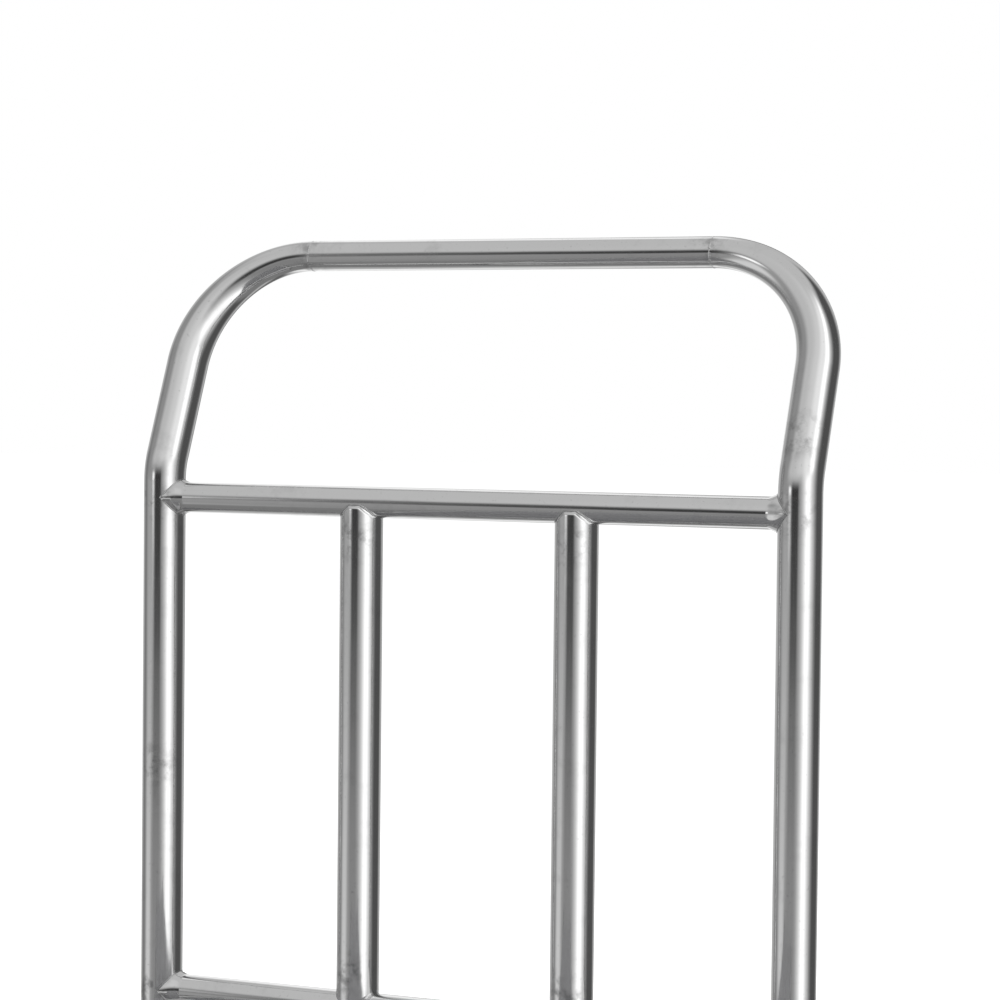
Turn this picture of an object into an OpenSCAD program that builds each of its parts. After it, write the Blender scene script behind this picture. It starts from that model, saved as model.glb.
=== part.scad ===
// Hotel luggage cart: a carpeted flat deck on four casters, pushed by a welded tube frame.
// Millimetres. X runs across the cart, +Y towards the push frame, +Z up.
// The origin is on the floor, under the middle of the cart's bounding box.
// "left" is the -X side and "rear" is the end with the push frame.

/* [Push frame] */
// Distance between the two post centre lines
post_gap = 560; // [500:5:600]
// Outer diameter of the posts and of the inner bars
post_d = 35; // [32:0.5:38]
// Outer diameter of the cross rails and of the grip bar
rail_d = 25.4; // [22:0.2:28]
// Wall of every tube in the push frame
tube_wall = 1.5; // [1:0.1:2]
// Height of the upper cross rail's centre line
upper_rail_z = 745; // [700:5:800]
// Height of the lower cross rail's centre line
lower_rail_z = 330; // [300:5:400]
// Distance between the two inner bar centre lines
bar_gap = 190; // [150:5:220]
// Height of the post's kink above the upper rail's centre line
kink_rise = 25; // [24:1:40]
// Lean of the handle, away from the deck
lean_angle = 23; // [10:1:30]
// Length of the leaning part, from the kink to the grip bar's centre line
lean_length = 195; // [180:1:260]
// Centre-line radius of the handle's two corners
corner_r = 100; // [80:1:120]

/* [Deck] */
// Length of the deck board
deck_l = 1000; // [900:10:1200]
// Thickness of the deck board
board_t = 18; // [15:1:24]
// Thickness of the carpet
carpet_t = 6; // [4:1:8]
// Distance from the deck's rear edge to the post centre lines
post_inset = 50; // [45:1:60]
// Width of the metal plate behind the carpet
rear_plate_l = 100; // [90:5:120]
// How far the bumper strips stand out
bumper_t = 14; // [10:1:20]

/* [Casters] */
// Diameter of the wheels
wheel_d = 150; // [150:1:152]
// Width of the tyres
tyre_w = 38; // [34:1:38]
// Distance from the swivel axis back to the axle
swivel_offset = 42; // [38:1:44]
// Distance of the caster centres from the middle of the cart
caster_x = 228; // [210:1:230]
// Distance from the deck's rear edge to the swivel axes
swivel_inset = 135; // [130:1:160]
// Distance from the deck's front edge to the fixed axles
fixed_inset = 110; // [100:1:160]

/* [Hidden] */
$fn = 64;

// Colours
polished = [0.78, 0.78, 0.79];
zinc = [0.62, 0.64, 0.66];
painted = [0.16, 0.16, 0.17];
rubber_black = [0.07, 0.07, 0.07];
rubber_grey = [0.42, 0.43, 0.44];
core_grey = [0.72, 0.73, 0.74];
ply = [0.62, 0.46, 0.30];
carpet_grey = [0.30, 0.30, 0.31];
pedal_red = [0.65, 0.08, 0.07];

// Small distances that more than one piece shares
eps = 1;               // how far a cutting shape runs past the face that it cuts
slip = 0.25;           // gap around a post where it passes through the deck
shaft_slip = 0.05;     // radial running clearance of pins and axles

// Heights, from the floor up
wheel_r = wheel_d / 2;
caster_h = wheel_d + 37;
pad_t = 5;
frame_z = caster_h + pad_t;
frame_s = 30;          // side of the square frame tube
frame_wall = 2;
board_z = frame_z + frame_s;
carpet_z = board_z + board_t;
deck_top_z = carpet_z + carpet_t;

// Widths and lengths
post_clear = 0.5;      // gap between a post and the side rail beside it
deck_w = post_gap + post_d + 2 * post_clear + 2 * frame_s;
trim_t = 1.5;
trim_lap = 18;         // width of the trim's flat leg, on top of the board
trim_z = 198;          // lower edge of the trim
corner_t = 16;         // how far a corner bumper stands out
corner_leg = 70;       // length of a corner bumper along each side
rear_overhang = lean_length * sin(lean_angle) + rail_d / 2 - post_inset;
total_l = corner_t + trim_t + deck_l + rear_overhang;
deck_front_y = corner_t + trim_t - total_l / 2;
deck_rear_y = deck_front_y + deck_l;
deck_mid_y = (deck_front_y + deck_rear_y) / 2;
post_y = deck_rear_y - post_inset;
swivel_y = deck_rear_y - swivel_inset;
fixed_y = deck_front_y + fixed_inset;
inlay_w = deck_w - 2 * trim_lap;
inlay_rear_y = deck_rear_y - rear_plate_l;

// Push frame
post_r = post_d / 2;
rail_r = rail_d / 2;
kink_z = upper_rail_z + kink_rise;
kink_r = 55;
kink_tangent = kink_r * tan(lean_angle / 2);
bend_z = kink_z - kink_tangent;
post_foot_z = frame_z + 3;
post_bolt_r = 5;
post_bolt_z = frame_z + frame_s / 2;
dome_h = 12;
dome_r = (post_r * post_r + dome_h * dome_h) / (2 * dome_h);
grip_half = post_gap / 2 - corner_r;

// Casters
plate_t = 4;
plate_x = 86;
plate_y = 104;
plate_hole_x = 60;
plate_hole_y = 80;
caster_bolt_r = 4;
leg_t = 3.5;
leg_gap = 45;          // between the inner faces of a fork's legs
axle_r = 6;
ball_r = 4;
ball_ring_r = 24;
ball_z = caster_h - 14;
crown_z = caster_h - 27; // underside of the fork's crown
kingpin_r = 6;
pedal_pin_r = 4;
pedal_pin_y = swivel_offset + 12;
pedal_pin_z = crown_z - 2;
pedal_travel = 14;     // degrees
shoe_gap = 0.3;        // between the pressed shoe and the tyre

// ---------------------------------------------------------------- shared shapes

module tube(d, l, wall = tube_wall) {
    difference() {
        cylinder(d = d, h = l);
        translate([0, 0, -eps]) cylinder(d = d - 2 * wall, h = l + 2 * eps);
    }
}

module ring(r_out, r_in, h) {
    difference() {
        cylinder(r = r_out, h = h);
        translate([0, 0, -eps]) cylinder(r = r_in, h = h + 2 * eps);
    }
}

// Square tube along +Y from the origin, centred on X
module square_tube(l) {
    difference() {
        translate([-frame_s / 2, 0, 0]) cube([frame_s, l, frame_s]);
        translate([frame_wall - frame_s / 2, -eps, frame_wall])
            cube([frame_s - 2 * frame_wall, l + 2 * eps, frame_s - 2 * frame_wall]);
    }
}

module hex_prism(across_flats, h) {
    cylinder(d = across_flats / cos(30), h = h, $fn = 6);
}

// Bolt along +Z: its head is below z = 0 and its nut starts at nut_z
module bolt(r, across_flats, head_h, l, nut_z) {
    translate([0, 0, -head_h]) hex_prism(across_flats, head_h);
    cylinder(r = r, h = l);
    translate([0, 0, nut_z]) difference() {
        hex_prism(across_flats, head_h);
        translate([0, 0, -eps]) cylinder(r = r + shaft_slip, h = head_h + 2 * eps);
    }
}

// Turns +Z to point along +X
module along_x() {
    rotate([0, 90, 0]) children();
}

module at_posts() {
    for (side = [-1, 1]) translate([side * post_gap / 2, post_y, 0]) children();
}

// ---------------------------------------------------------------- push frame

// The leaning plane: z runs up along the lean from the kink
module leaning() {
    translate([0, post_y, kink_z]) rotate([-lean_angle, 0, 0]) children();
}

// A post with its bend at the origin: straight below z = 0 and leaning above it.
// The bend is slightly fatter than the straight runs, and laps onto each of them.
module bent_tube() {
    lap = 1;
    swell = 0.2;
    translate([0, -kink_r, lap]) mirror([0, 0, 1]) tube(post_d, bend_z - post_foot_z + lap);
    rotate([90, 0, -90]) rotate_extrude(angle = lean_angle) translate([kink_r, 0]) difference() {
        circle(r = post_r + swell);
        circle(r = post_r - tube_wall - swell);
    }
    rotate([-lean_angle, 0, 0]) translate([0, -kink_r, -lap])
        tube(post_d, lean_length - corner_r - kink_tangent + lap);
}

module post(side) {
    color(polished) difference() {
        translate([side * post_gap / 2, post_y + kink_r, bend_z]) bent_tube();
        translate([side * post_gap / 2 - post_d, post_y, post_bolt_z])
            along_x() cylinder(r = post_bolt_r + slip, h = 2 * post_d);
    }
}

// A corner of the handle: a quarter turn that reduces from the post's diameter to the grip's
elbow_steps = 14;
elbow_sides = 28;
function eased(t) = t * t * (3 - 2 * t);
function elbow_radius(step) =
    let (t = eased(step / elbow_steps)) post_r + (rail_r - post_r) * t;
function elbow_ring(step, inset) =
    let (a = 90 * step / elbow_steps, r = elbow_radius(step) - inset)
    [for (k = [0 : elbow_sides - 1])
        let (b = 360 * k / elbow_sides, out = corner_r + r * cos(b))
        [out * cos(a), r * sin(b), out * sin(a)]];

module elbow_solid(inset) {
    rings = [for (step = [0 : elbow_steps]) elbow_ring(step, inset)];
    points = [for (one = rings) each one];
    last = elbow_steps * elbow_sides;
    sides = [for (i = [0 : elbow_steps - 1], k = [0 : elbow_sides - 1])
        let (n = (k + 1) % elbow_sides, a = i * elbow_sides, b = a + elbow_sides)
        [a + k, b + k, b + n, a + n]];
    start = [for (k = [0 : elbow_sides - 1]) k];
    end = [for (k = [0 : elbow_sides - 1]) last + elbow_sides - 1 - k];
    polyhedron(points, concat(sides, [start, end]), convexity = 4);
}

module elbow(side) {
    color(polished) leaning()
        translate([side * grip_half, 0, lean_length - corner_r])
            mirror([side < 0 ? 1 : 0, 0, 0])
                difference() {
                    elbow_solid(0);
                    elbow_solid(tube_wall);
                }
}

module grip_bar() {
    color(polished) leaning() translate([-grip_half, 0, lean_length])
        along_x() tube(rail_d, 2 * grip_half);
}

// A cross rail, its ends shaped to sit against the posts
module cross_rail(z) {
    color(polished) difference() {
        translate([-post_gap / 2, post_y, z]) along_x() tube(rail_d, post_gap);
        at_posts() translate([0, 0, z - post_d]) cylinder(d = post_d, h = 2 * post_d);
    }
}

// An inner bar with domed ends, notched over the two rails
module inner_bar(side) {
    low = lower_rail_z + dome_h;
    high = upper_rail_z - dome_h;
    end_wall = 3;
    color(polished) translate([side * bar_gap / 2, post_y, 0]) difference() {
        union() {
            translate([0, 0, low]) cylinder(d = post_d, h = high - low);
            intersection() {
                translate([0, 0, upper_rail_z - dome_r]) sphere(r = dome_r);
                translate([-post_d, -post_d, high]) cube([2 * post_d, 2 * post_d, dome_h]);
            }
            intersection() {
                translate([0, 0, lower_rail_z + dome_r]) sphere(r = dome_r);
                translate([-post_d, -post_d, lower_rail_z])
                    cube([2 * post_d, 2 * post_d, dome_h]);
            }
        }
        translate([0, 0, low + end_wall])
            cylinder(d = post_d - 2 * tube_wall, h = high - low - 2 * end_wall);
        for (z = [lower_rail_z, upper_rail_z])
            translate([-post_d, 0, z]) along_x() cylinder(d = rail_d, h = 2 * post_d);
    }
}

// Cover flanges around the posts, where they enter the deck
module post_collars() {
    collar_r = 30;
    color(polished) at_posts() translate([0, 0, deck_top_z]) difference() {
        union() {
            cylinder(r = collar_r, h = 3);
            cylinder(r = post_r + 4, h = 14);
        }
        translate([0, 0, -eps]) cylinder(r = post_r + slip, h = 14 + 2 * eps);
    }
}

// Through-bolts that hold the posts to the side rails, with their heads inside the rails
module post_bolts() {
    head_h = 6.4;
    grip_l = frame_wall + post_clear + post_d;
    color(zinc) for (side = [-1, 1])
        translate([side * (deck_w / 2 - frame_s + frame_wall), post_y, post_bolt_z])
            rotate([0, -side * 90, 0]) bolt(post_bolt_r, 16, head_h, grip_l + 11, grip_l);
}

module post_end_plugs() {
    color(rubber_black) at_posts() translate([0, 0, post_foot_z - 3]) {
        cylinder(r = post_r, h = 3);
        cylinder(r = post_r - tube_wall, h = 9);
    }
}

// ---------------------------------------------------------------- deck

screw_r = 3;
screw_ys = [for (k = [0 : 4]) deck_front_y + 60 + k * (deck_l - 180) / 4];

module at_deck_screws() {
    for (side = [-1, 1], y = screw_ys)
        translate([side * (deck_w - frame_s) / 2, y, 0]) children();
}

// The stem and countersunk head of a deck screw, grown by gap to cut its hole
module deck_screw(gap) {
    translate([0, 0, board_z - 8]) cylinder(r = screw_r + gap, h = board_t + 8 + gap);
    translate([0, 0, carpet_z - 3 - gap]) cylinder(r1 = screw_r + gap, r2 = screw_r + 3 + 2 * gap, h = 3 + gap);
}

module deck_screws() {
    color(zinc) at_deck_screws() deck_screw(0);
}

module deck_board() {
    color(ply) difference() {
        translate([-deck_w / 2, deck_front_y, board_z]) cube([deck_w, deck_l, board_t]);
        at_posts() translate([0, 0, board_z - eps]) cylinder(r = post_r + slip, h = board_t + 2 * eps);
        at_deck_screws() deck_screw(0.1);
    }
}

module deck_carpet() {
    color(carpet_grey) translate([-inlay_w / 2, deck_front_y + trim_lap, carpet_z])
        cube([inlay_w, inlay_rear_y - deck_front_y - trim_lap, carpet_t]);
}

// Folded plate that carries the posts' collars: a flat top with a lip at the front and rear
module rear_deck_plate() {
    fold_t = 2;
    run = rear_plate_l - trim_lap;
    color(polished) difference() {
        translate([-inlay_w / 2, inlay_rear_y, carpet_z]) cube([inlay_w, run, carpet_t]);
        translate([-inlay_w / 2 - eps, inlay_rear_y + fold_t, carpet_z - eps])
            cube([inlay_w + 2 * eps, run - 2 * fold_t, carpet_t - fold_t + eps]);
        at_posts() translate([0, 0, carpet_z]) cylinder(r = post_r + slip, h = 2 * carpet_t);
    }
}

// Angle trim along +Y: it stands against the board's edge at x = 0, with a flat leg on the board
module trim(l) {
    translate([0, 0, trim_z]) cube([trim_t, l, carpet_z - trim_z]);
    translate([-trim_lap, 0, carpet_z]) cube([trim_lap + trim_t, l, trim_t]);
}

module trim_side(side) {
    color(polished) translate([side * deck_w / 2, deck_front_y, 0])
        mirror([side < 0 ? 1 : 0, 0, 0]) trim(deck_l);
}

module trim_end(end) {
    color(polished) {
        translate([-deck_w / 2, end < 0 ? deck_front_y - trim_t : deck_rear_y, trim_z])
            cube([deck_w, trim_t, carpet_z + trim_t - trim_z]);
        translate([-inlay_w / 2, end < 0 ? deck_front_y : deck_rear_y - trim_lap, carpet_z])
            cube([inlay_w, trim_lap, trim_t]);
    }
}

// ---------------------------------------------------------------- bumpers

bumper_h = 42;
bumper_round = 6;

// Section of a bumper strip: flat at x = 0, with rounded outer edges
module bumper_section() {
    translate([0, trim_z]) square([bumper_t - bumper_round, bumper_h]);
    translate([0, trim_z + bumper_round]) square([bumper_t, bumper_h - 2 * bumper_round]);
    for (y = [trim_z + bumper_round, trim_z + bumper_h - bumper_round])
        translate([bumper_t - bumper_round, y]) circle(r = bumper_round);
}

// A bumper strip along -Y from the origin, standing out towards +X
module bumper_strip(l) {
    rotate([90, 0, 0]) linear_extrude(l) bumper_section();
}

module bumper_side(side) {
    run = deck_l + 2 * trim_t - 2 * corner_leg;
    color(rubber_black) mirror([side < 0 ? 1 : 0, 0, 0])
        translate([deck_w / 2 + trim_t, deck_mid_y + run / 2, 0]) bumper_strip(run);
}

module bumper_end(end) {
    run = deck_w + 2 * trim_t - 2 * corner_leg;
    edge_y = end < 0 ? deck_front_y - trim_t : deck_rear_y + trim_t;
    color(rubber_black) translate([-end * run / 2, edge_y, 0]) rotate([0, 0, end * 90])
        bumper_strip(run);
}

// One rounded corner block around the trim's corner at (0, 0), towards +X +Y
module corner_block() {
    round_r = 30;
    low = trim_z - 2;
    high = carpet_z + trim_t + 2;
    out = corner_t;
    translate([0, 0, low]) difference() {
        linear_extrude(high - low) {
            translate([-corner_leg, -corner_leg]) square([corner_leg + out - round_r, corner_leg + out]);
            translate([-corner_leg, -corner_leg]) square([corner_leg + out, corner_leg + out - round_r]);
            translate([out - round_r, out - round_r]) circle(r = round_r);
        }
        translate([-2 * corner_leg, -2 * corner_leg, -eps])
            cube([2 * corner_leg, 2 * corner_leg, high - low + 2 * eps]);
    }
}

module corner_bumpers() {
    color(rubber_black) for (side = [0, 1], end = [0, 1])
        translate([0, deck_mid_y, 0]) mirror([side, 0, 0]) mirror([0, end, 0])
            translate([deck_w / 2 + trim_t, deck_l / 2 + trim_t, 0]) corner_block();
}

// ---------------------------------------------------------------- chassis

module side_rail(side) {
    bolt_at = [side * (deck_w / 2 - frame_s / 2), post_y, post_bolt_z];
    color(painted) difference() {
        translate([side * (deck_w - frame_s) / 2, deck_front_y, frame_z]) square_tube(deck_l);
        translate(bolt_at) rotate([0, -side * 90, 0]) {
            cylinder(r = post_bolt_r + slip, h = frame_s);
            translate([0, 0, -frame_s]) cylinder(r = 11, h = frame_s);
        }
        at_deck_screws() deck_screw(0.1);
    }
}

// A square tube across the cart, between the side rails
module cross_tube(y) {
    inner_w = deck_w - 2 * frame_s;
    color(painted) translate([inner_w / 2, y, frame_z]) rotate([0, 0, 90]) square_tube(inner_w);
}

module at_casters() {
    for (side = [-1, 1], y = [fixed_y, swivel_y]) translate([side * caster_x, y, 0]) children();
}

module at_plate_holes() {
    for (sx = [-1, 1], sy = [-1, 1])
        translate([sx * plate_hole_x / 2, sy * plate_hole_y / 2, 0]) children();
}

// Plates welded under the frame, which the casters bolt to
module caster_pads() {
    pad_y = plate_y + 8;
    inner = caster_x - plate_x / 2 - 4;
    color(painted) for (side = [-1, 1], y = [fixed_y, swivel_y])
        translate([side * caster_x, y, caster_h]) difference() {
            translate([side > 0 ? inner - caster_x : caster_x - deck_w / 2, -pad_y / 2, 0])
                cube([deck_w / 2 - inner, pad_y, pad_t]);
            translate([0, 0, -eps]) cylinder(r = 14, h = pad_t + 2 * eps);
            at_plate_holes() translate([0, 0, -eps])
                cylinder(r = caster_bolt_r + 0.5, h = pad_t + 2 * eps);
        }
}

module caster_fasteners() {
    grip_l = plate_t + pad_t;
    color(zinc) at_casters() at_plate_holes() translate([0, 0, caster_h - plate_t])
        bolt(caster_bolt_r, 13, 5.3, grip_l + 8, grip_l);
}

// ---------------------------------------------------------------- casters

module top_plate() {
    difference() {
        translate([-plate_x / 2, -plate_y / 2, caster_h - plate_t]) cube([plate_x, plate_y, plate_t]);
        at_plate_holes() translate([0, 0, caster_h - plate_t - eps])
            cylinder(r = caster_bolt_r + 0.5, h = plate_t + 2 * eps);
    }
}

// A swivel caster's plate with its upper ball race and dust skirt
module swivel_top_plate() {
    difference() {
        union() {
            top_plate();
            translate([0, 0, ball_z + 1.5]) ring(32, kingpin_r + 4, caster_h - plate_t - ball_z - 1.5);
            translate([0, 0, ball_z - 5]) ring(38, 36, caster_h - plate_t - ball_z + 5);
        }
        translate([0, 0, ball_z]) rotate_extrude() translate([ball_ring_r, 0]) circle(r = ball_r + 0.1);
        translate([0, 0, caster_h - plate_t - eps]) cylinder(r = kingpin_r, h = plate_t + 2 * eps);
    }
}

module swivel_top_plates() {
    color(zinc) for (side = [-1, 1]) translate([side * caster_x, swivel_y, 0]) swivel_top_plate();
}

module kingpins() {
    head_h = 6;
    shank_z = crown_z - 0.3;
    color(zinc) for (side = [-1, 1]) translate([side * caster_x, swivel_y, 0]) {
        translate([0, 0, shank_z - head_h]) cylinder(r = 11, h = head_h);
        translate([0, 0, shank_z]) cylinder(r = kingpin_r, h = caster_h + 4.5 - shank_z);
        translate([0, 0, caster_h]) difference() {
            hex_prism(18, 4);
            translate([0, 0, -eps]) cylinder(r = kingpin_r + shaft_slip, h = 8);
        }
    }
}

module swivel_balls() {
    count = 16;
    for (k = [0 : count - 1]) rotate([0, 0, 360 * k / count])
        translate([ball_ring_r, 0, ball_z]) sphere(r = ball_r, $fn = 24);
}

// Side plate of a fork or bracket, standing in the YZ plane: outline is [y, z] points
module leg(outline, axle_y, pin) {
    rotate([90, 0, 90]) linear_extrude(leg_t) difference() {
        union() {
            polygon(outline);
            translate([axle_y, wheel_r]) circle(r = 17);
        }
        translate([axle_y, wheel_r]) circle(r = axle_r + shaft_slip);
        if (pin) translate([pedal_pin_y, pedal_pin_z]) circle(r = pedal_pin_r);
    }
}

module legs(outline, axle_y, pin) {
    for (x = [-leg_gap / 2 - leg_t, leg_gap / 2]) translate([x, 0, 0]) leg(outline, axle_y, pin);
}

module swivel_fork() {
    crown_t = 3.5;
    race_h = 8;
    outer_w = leg_gap + 2 * leg_t;
    outline = [
        [-26, crown_z + crown_t], [66, crown_z + crown_t], [66, crown_z - 12],
        [swivel_offset + 17, wheel_r], [swivel_offset - 16, wheel_r - 3], [-26, crown_z - 6]
    ];
    difference() {
        union() {
            translate([-outer_w / 2, -26, crown_z]) cube([outer_w, 62, crown_t]);
            translate([0, 0, crown_z]) cylinder(r = 34, h = crown_t);
            translate([0, 0, crown_z + crown_t]) cylinder(r = 33, h = race_h);
            legs(outline, swivel_offset, true);
        }
        translate([0, 0, ball_z]) rotate_extrude() translate([ball_ring_r, 0]) circle(r = ball_r + 0.1);
        translate([0, 0, crown_z - eps]) cylinder(r = kingpin_r + shaft_slip, h = 20);
    }
}

module fixed_bracket() {
    outline = [
        [-32, caster_h - plate_t], [32, caster_h - plate_t], [31, caster_h - 26],
        [16, wheel_r], [-16, wheel_r], [-31, caster_h - 26]
    ];
    top_plate();
    legs(outline, 0, false);
}

module axle_bolt() {
    translate([-leg_gap / 2 - leg_t, 0, 0]) along_x()
        bolt(axle_r, 18, 7, leg_gap + 2 * leg_t + 9, leg_gap + 2 * leg_t);
}

bearing_r = 16;
bearing_w = 10;
hub_w = leg_gap - 1;
tyre_in_r = wheel_r - 17;

// Wheel centre with its hub, dished web and rim, about the X axis
module wheel_core() {
    along_x() difference() {
        union() {
            translate([0, 0, -hub_w / 2]) cylinder(r = 21, h = hub_w);
            translate([0, 0, -5]) cylinder(r = tyre_in_r - 2, h = 10);
            translate([0, 0, -16]) ring(tyre_in_r, tyre_in_r - 6, 32);
            for (k = [0 : 7]) rotate([0, 0, 45 * k]) translate([18, -1.5, -12])
                cube([tyre_in_r - 21, 3, 24]);
        }
        for (z = [-hub_w / 2 - eps, hub_w / 2 - bearing_w])
            translate([0, 0, z]) cylinder(r = bearing_r, h = bearing_w + eps);
        cylinder(r = 10, h = hub_w + 2 * eps, center = true);
    }
}

// Tyre with a flat tread and rounded shoulders, about the X axis
module tyre() {
    shoulder = 7;
    half = tyre_w / 2;
    along_x() rotate_extrude() {
        translate([tyre_in_r, -16]) square([3, 32]);
        translate([tyre_in_r + 2, -half]) square([wheel_r - shoulder - tyre_in_r - 2, tyre_w]);
        translate([tyre_in_r + 2, shoulder - half])
            square([wheel_r - tyre_in_r - 2, tyre_w - 2 * shoulder]);
        for (y = [shoulder - half, half - shoulder])
            translate([wheel_r - shoulder, y]) circle(r = shoulder);
    }
}

// Ball bearings at the two ends of the hub, each with inset side shields
module wheel_bearings() {
    along_x() for (z = [-hub_w / 2, hub_w / 2 - bearing_w]) translate([0, 0, z]) {
        difference() {
            ring(bearing_r, axle_r + shaft_slip, bearing_w);
            for (face = [-eps, bearing_w - 1]) translate([0, 0, face]) ring(13, 9, 1 + eps);
        }
    }
}

// The wheel's axis as the pedal sees it when it is pressed right down
module pressed_axle() {
    translate([0, pedal_pin_y, pedal_pin_z]) rotate([pedal_travel, 0, 0])
        translate([0, swivel_offset - pedal_pin_y, wheel_r - pedal_pin_z]) children();
}

// Foot pedal with its brake shoe, hung between the fork's legs on its own pin
module brake_pedal() {
    hub_r = 7;
    half = leg_gap / 2 - 1.5;
    shoe_half = tyre_w / 2 - 2;
    color(pedal_red) {
        translate([-leg_gap / 2 - leg_t, pedal_pin_y, pedal_pin_z]) along_x()
            cylinder(r = pedal_pin_r - shaft_slip, h = leg_gap + 2 * leg_t);
        translate([-half, pedal_pin_y, pedal_pin_z]) along_x() cylinder(r = hub_r, h = 2 * half);
        translate([-half, pedal_pin_y, pedal_pin_z - 3]) cube([2 * half, 20, 6]);
        translate([-half, pedal_pin_y + 16, pedal_pin_z - 3]) rotate([-18, 0, 0])
            cube([2 * half, 42, 5]);
        difference() {
            translate([-shoe_half, pedal_pin_y + 7, pedal_pin_z - 14])
                cube([2 * shoe_half, 14, 14]);
            pressed_axle() along_x()
                cylinder(r = wheel_r + shoe_gap, h = 4 * tyre_w, center = true);
        }
    }
}

module at_swivel(side) {
    translate([side * caster_x, swivel_y, 0]) children();
}

module at_swivel_axle(side) {
    at_swivel(side) translate([0, swivel_offset, wheel_r]) children();
}

module at_fixed(side) {
    translate([side * caster_x, fixed_y, 0]) children();
}

module at_fixed_axle(side) {
    at_fixed(side) translate([0, 0, wheel_r]) children();
}

// ---------------------------------------------------------------- nodes

post(-1);  // post_left
post(1);  // post_right
elbow(-1);  // elbow_left
elbow(1);  // elbow_right
grip_bar();
cross_rail(upper_rail_z);  // upper_rail
cross_rail(lower_rail_z);  // lower_rail
inner_bar(-1);  // inner_bar_left
inner_bar(1);  // inner_bar_right
post_collars();
post_bolts();
post_end_plugs();

deck_board();
deck_carpet();
rear_deck_plate();
deck_screws();
trim_side(-1);  // trim_left
trim_side(1);  // trim_right
trim_end(-1);  // trim_front
trim_end(1);  // trim_rear
bumper_side(-1);  // bumper_left
bumper_side(1);  // bumper_right
bumper_end(-1);  // bumper_front
bumper_end(1);  // bumper_rear
corner_bumpers();

side_rail(-1);  // side_rail_left
side_rail(1);  // side_rail_right
cross_tube(deck_front_y + frame_s / 2);  // front_rail
cross_tube(deck_rear_y - frame_s / 2);  // rear_rail
cross_tube(fixed_y);  // cross_member_front
cross_tube(deck_mid_y);  // cross_member_middle
cross_tube(swivel_y);  // cross_member_rear
caster_pads();
caster_fasteners();
swivel_top_plates();
kingpins();

color(zinc) at_swivel(-1) swivel_balls();  // rear_left_balls
color(zinc) at_swivel(-1) swivel_fork();  // rear_left_fork
color(zinc) at_swivel_axle(-1) axle_bolt();  // rear_left_axle
color(core_grey) at_swivel_axle(-1) wheel_core();  // rear_left_core
color(rubber_grey) at_swivel_axle(-1) tyre();  // rear_left_tyre
color(zinc) at_swivel_axle(-1) wheel_bearings();  // rear_left_bearings
at_swivel(-1) brake_pedal();  // rear_left_pedal
color(zinc) at_swivel(1) swivel_balls();  // rear_right_balls
color(zinc) at_swivel(1) swivel_fork();  // rear_right_fork
color(zinc) at_swivel_axle(1) axle_bolt();  // rear_right_axle
color(core_grey) at_swivel_axle(1) wheel_core();  // rear_right_core
color(rubber_grey) at_swivel_axle(1) tyre();  // rear_right_tyre
color(zinc) at_swivel_axle(1) wheel_bearings();  // rear_right_bearings
at_swivel(1) brake_pedal();  // rear_right_pedal

color(zinc) at_fixed(-1) fixed_bracket();  // front_left_bracket
color(zinc) at_fixed_axle(-1) axle_bolt();  // front_left_axle
color(core_grey) at_fixed_axle(-1) wheel_core();  // front_left_core
color(rubber_grey) at_fixed_axle(-1) tyre();  // front_left_tyre
color(zinc) at_fixed_axle(-1) wheel_bearings();  // front_left_bearings
color(zinc) at_fixed(1) fixed_bracket();  // front_right_bracket
color(zinc) at_fixed_axle(1) axle_bolt();  // front_right_axle
color(core_grey) at_fixed_axle(1) wheel_core();  // front_right_core
color(rubber_grey) at_fixed_axle(1) tyre();  // front_right_tyre
color(zinc) at_fixed_axle(1) wheel_bearings();  // front_right_bearings
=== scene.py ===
"""Looks of the hotel luggage cart: a welded stainless push frame on a carpeted deck with four casters."""

import math
import random

import bpy
import bmesh
from mathutils import Matrix, Vector, noise


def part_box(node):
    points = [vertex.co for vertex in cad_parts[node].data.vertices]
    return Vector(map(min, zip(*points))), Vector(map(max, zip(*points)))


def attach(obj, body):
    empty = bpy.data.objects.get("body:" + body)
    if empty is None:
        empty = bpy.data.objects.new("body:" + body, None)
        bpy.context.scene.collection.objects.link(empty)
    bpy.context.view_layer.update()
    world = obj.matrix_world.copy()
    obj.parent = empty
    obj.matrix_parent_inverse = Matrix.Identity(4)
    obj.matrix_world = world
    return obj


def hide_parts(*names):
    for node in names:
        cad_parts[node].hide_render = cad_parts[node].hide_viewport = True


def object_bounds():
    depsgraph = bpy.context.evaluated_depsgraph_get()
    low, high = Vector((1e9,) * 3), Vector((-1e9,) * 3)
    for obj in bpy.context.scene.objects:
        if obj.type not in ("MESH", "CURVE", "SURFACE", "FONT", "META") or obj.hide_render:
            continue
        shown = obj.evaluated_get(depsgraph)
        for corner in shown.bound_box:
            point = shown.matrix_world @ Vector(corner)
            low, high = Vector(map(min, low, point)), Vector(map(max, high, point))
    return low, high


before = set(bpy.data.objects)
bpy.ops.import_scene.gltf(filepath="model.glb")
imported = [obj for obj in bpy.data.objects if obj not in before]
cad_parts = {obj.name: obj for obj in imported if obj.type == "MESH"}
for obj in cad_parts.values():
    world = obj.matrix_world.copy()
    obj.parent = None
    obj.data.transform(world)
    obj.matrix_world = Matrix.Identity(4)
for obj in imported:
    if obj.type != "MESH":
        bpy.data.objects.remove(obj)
cad_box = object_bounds()

TAU = 2 * math.pi
MM = 0.001
rng = random.Random(11)

# Driving dimensions that the boxes of the CAD nodes don't give, in metres and radians
LEAN = math.radians(23)
KINK_R = 55 * MM
WALL = 1.5 * MM
TRIM_T = 1.5 * MM
TRIM_LAP = 18 * MM
BUMPER_CORNER_R = 30 * MM
DOME_H = 12 * MM
PEDAL_SLOPE = math.radians(18)

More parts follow.
